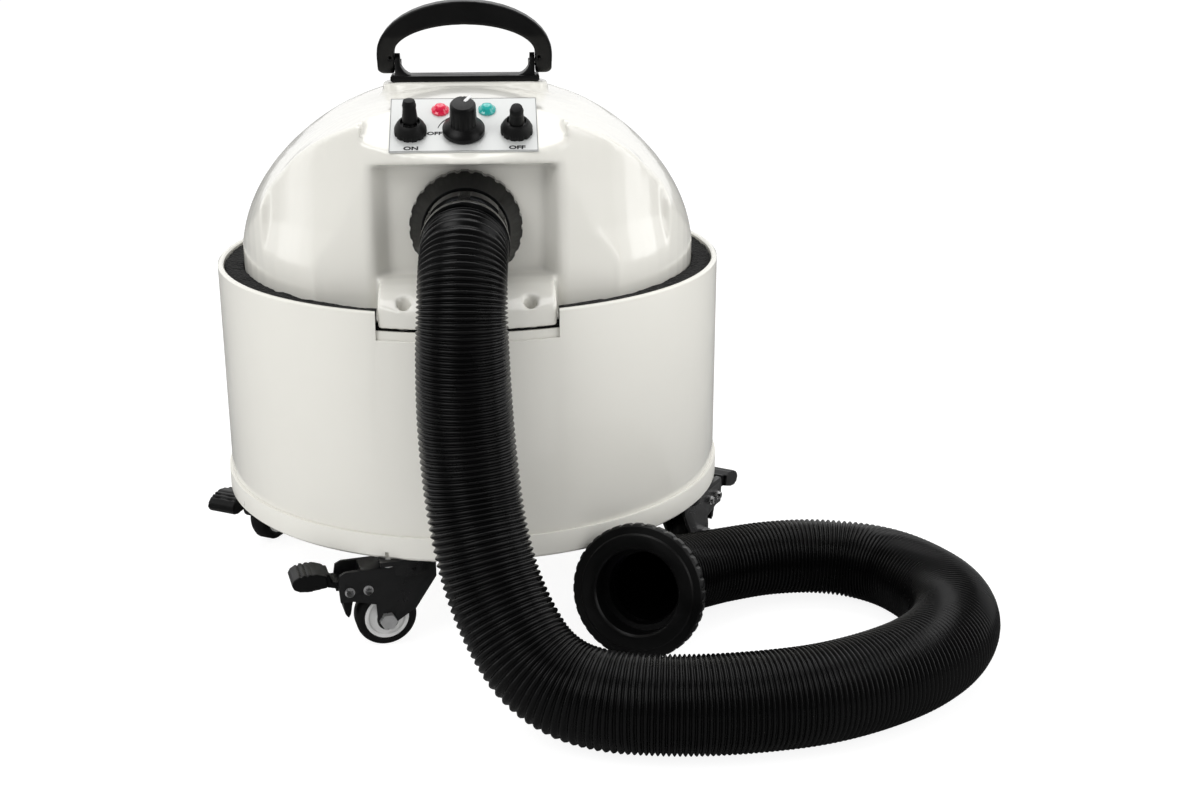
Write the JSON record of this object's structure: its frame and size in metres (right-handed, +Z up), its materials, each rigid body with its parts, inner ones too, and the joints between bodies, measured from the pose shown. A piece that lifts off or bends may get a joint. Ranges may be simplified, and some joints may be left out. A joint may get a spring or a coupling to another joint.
{
  "type": "pet dryer",
  "caption": "Floor-standing pet blow dryer: round drum with domed housing, folding handle, switch panel and corrugated hose, on braked swivel casters.",
  "frame": {"origin": "on the floor under the axis of the drum", "axes": "+Z up, the outlet and the control panel face -Y, +X is to the right seen from the front"},
  "size_m": [0.531, 0.5128, 0.402],
  "materials": {
    "white_plastic": "glossy warm white moulding",
    "tray_plastic": "glossy white moulding",
    "deck_plastic": "matte light grey moulding",
    "foam": "open black filter foam",
    "seal_rubber": "matte black rubber",
    "black_plastic": "black plastic, slight sheen",
    "gloss_black": "glossy black plastic",
    "hose_plastic": "black corrugated plastic, soft sheen",
    "spigot_plastic": "dark grey plastic",
    "pale_sleeve": "pale grey liner",
    "panel_plate": "printed satin silver plate",
    "lamp_red": "clear red lens",
    "lamp_green": "clear green lens",
    "screw_steel": "plated steel",
    "motor_metal": "cast and pressed metal",
    "rotor_metal": "steel fan and armature",
    "circuit": "circuit board",
    "fork_steel": "black painted pressed steel",
    "tyre_rubber": "black rubber tyre",
    "hub_plastic": "white nylon"
  },
  "bodies": {
    "housing": {"base_tray": "tray_plastic", "drum_shell": "white_plastic", "motor_deck": "deck_plastic", "foam_filter": "foam", "deck_seal": "seal_rubber", "dome_housing": "white_plastic", "housing_screws": "screw_steel", "outlet_spigot": "spigot_plastic", "near_cuff": "gloss_black", "near_sleeve": "pale_sleeve", "hose": "hose_plastic", "end_cuff": "black_plastic", "control_panel": "panel_plate", "lamp_red": "lamp_red", "lamp_green": "lamp_green", "switch_left_body": "black_plastic", "switch_right_body": "black_plastic", "switch_left_boot": "seal_rubber", "switch_right_boot": "seal_rubber", "speed_pot": "screw_steel", "handle_bracket": "black_plastic", "handle_pins": "screw_steel", "motor_left_case": "motor_metal", "motor_right_case": "motor_metal", "motor_gaskets": "seal_rubber", "speed_board": "circuit", "mains_gland": "black_plastic", "caster_plates": "fork_steel", "caster_screws": "screw_steel"},
    "lock_nut": {"hose_lock_nut": "gloss_black"},
    "left_lever": {"switch_left_lever": "seal_rubber"},
    "right_lever": {"switch_right_lever": "seal_rubber"},
    "knob": {"speed_knob": "black_plastic"},
    "grip": {"handle_grip": "black_plastic"},
    "left_rotor": {"motor_left_rotor": "rotor_metal"},
    "right_rotor": {"motor_right_rotor": "rotor_metal"},
    "front_swivel": {"caster_1_fork": "fork_steel", "caster_1_bolts": "screw_steel"},
    "front_wheel": {"caster_1_tyre": "tyre_rubber", "caster_1_hub": "hub_plastic"},
    "front_pedal": {"caster_1_pedal": "black_plastic"},
    "right_swivel": {"caster_2_fork": "fork_steel", "caster_2_bolts": "screw_steel"},
    "right_wheel": {"caster_2_tyre": "tyre_rubber", "caster_2_hub": "hub_plastic"},
    "right_pedal": {"caster_2_pedal": "black_plastic"},
    "rear_swivel": {"caster_3_fork": "fork_steel", "caster_3_bolts": "screw_steel"},
    "rear_wheel": {"caster_3_tyre": "tyre_rubber", "caster_3_hub": "hub_plastic"},
    "rear_pedal": {"caster_3_pedal": "black_plastic"},
    "left_swivel": {"caster_4_fork": "fork_steel", "caster_4_bolts": "screw_steel"},
    "left_wheel": {"caster_4_tyre": "tyre_rubber", "caster_4_hub": "hub_plastic"},
    "left_pedal": {"caster_4_pedal": "black_plastic"}
  },
  "joints": [
    {"name": "lock_nut_turn", "type": "hinge", "parent": "housing", "child": "lock_nut", "pos_m": [0, -0.135, 0.273], "axis": [0, -1, 0], "continuous": true},
    {"name": "left_switch", "type": "hinge", "parent": "housing", "child": "left_lever", "pos_m": [-0.0325, -0.12931, 0.33483], "axis": [1, 0, 0], "range_deg": [0, 26]},
    {"name": "right_switch", "type": "hinge", "parent": "housing", "child": "right_lever", "pos_m": [0.0325, -0.12931, 0.33483], "axis": [1, 0, 0], "range_deg": [-26, 0]},
    {"name": "speed_turn", "type": "hinge", "parent": "housing", "child": "knob", "pos_m": [0, -0.12931, 0.33483], "axis": [0, -0.5, 0.866], "range_deg": [-150, 120]},
    {"name": "handle_fold", "type": "hinge", "parent": "housing", "child": "grip", "pos_m": [0, -0.01, 0.361], "axis": [-1, 0, 0], "range_deg": [0, 80]},
    {"name": "left_fan", "type": "hinge", "parent": "housing", "child": "left_rotor", "pos_m": [-0.061, 0.012, 0.19], "axis": [0, 0, 1], "continuous": true},
    {"name": "right_fan", "type": "hinge", "parent": "housing", "child": "right_rotor", "pos_m": [0.061, 0.012, 0.19], "axis": [0, 0, 1], "continuous": true},
    {"name": "front_swivel_turn", "type": "hinge", "parent": "housing", "child": "front_swivel", "pos_m": [-0.04402, -0.14862, 0.057], "axis": [0, 0, 1], "continuous": true},
    {"name": "front_roll", "type": "hinge", "parent": "front_swivel", "child": "front_wheel", "pos_m": [-0.05955, -0.15249, 0.02], "axis": [0.2419, -0.9703, 0], "continuous": true},
    {"name": "front_brake", "type": "hinge", "parent": "front_swivel", "child": "front_pedal", "pos_m": [-0.08283, -0.15829, 0.043], "axis": [0.2419, -0.9703, 0], "range_deg": [0, 12]},
    {"name": "right_swivel_turn", "type": "hinge", "parent": "housing", "child": "right_swivel", "pos_m": [0.14862, -0.04402, 0.057], "axis": [0, 0, 1], "continuous": true, "deforming": ["hose"]},
    {"name": "right_roll", "type": "hinge", "parent": "right_swivel", "child": "right_wheel", "pos_m": [0.1571, -0.03045, 0.02], "axis": [-0.848, 0.5299, 0], "continuous": true},
    {"name": "right_brake", "type": "hinge", "parent": "right_swivel", "child": "right_pedal", "pos_m": [0.16981, -0.0101, 0.043], "axis": [-0.848, 0.5299, 0], "range_deg": [-12, 0]},
    {"name": "rear_swivel_turn", "type": "hinge", "parent": "housing", "child": "rear_swivel", "pos_m": [0.04402, 0.14862, 0.057], "axis": [0, 0, 1], "continuous": true},
    {"name": "rear_roll", "type": "hinge", "parent": "rear_swivel", "child": "rear_wheel", "pos_m": [0.05955, 0.15249, 0.02], "axis": [-0.2419, 0.9703, 0], "continuous": true},
    {"name": "rear_brake", "type": "hinge", "parent": "rear_swivel", "child": "rear_pedal", "pos_m": [0.08283, 0.15829, 0.043], "axis": [-0.2419, 0.9703, 0], "range_deg": [0, 12]},
    {"name": "left_swivel_turn", "type": "hinge", "parent": "housing", "child": "left_swivel", "pos_m": [-0.14862, 0.04402, 0.057], "axis": [0, 0, 1], "continuous": true},
    {"name": "left_roll", "type": "hinge", "parent": "left_swivel", "child": "left_wheel", "pos_m": [-0.15613, 0.0299, 0.02], "axis": [0.8829, -0.4695, 0], "continuous": true},
    {"name": "left_brake", "type": "hinge", "parent": "left_swivel", "child": "left_pedal", "pos_m": [-0.1674, 0.0087, 0.043], "axis": [0.8829, -0.4695, 0], "range_deg": [-12, 0]}
  ]
}
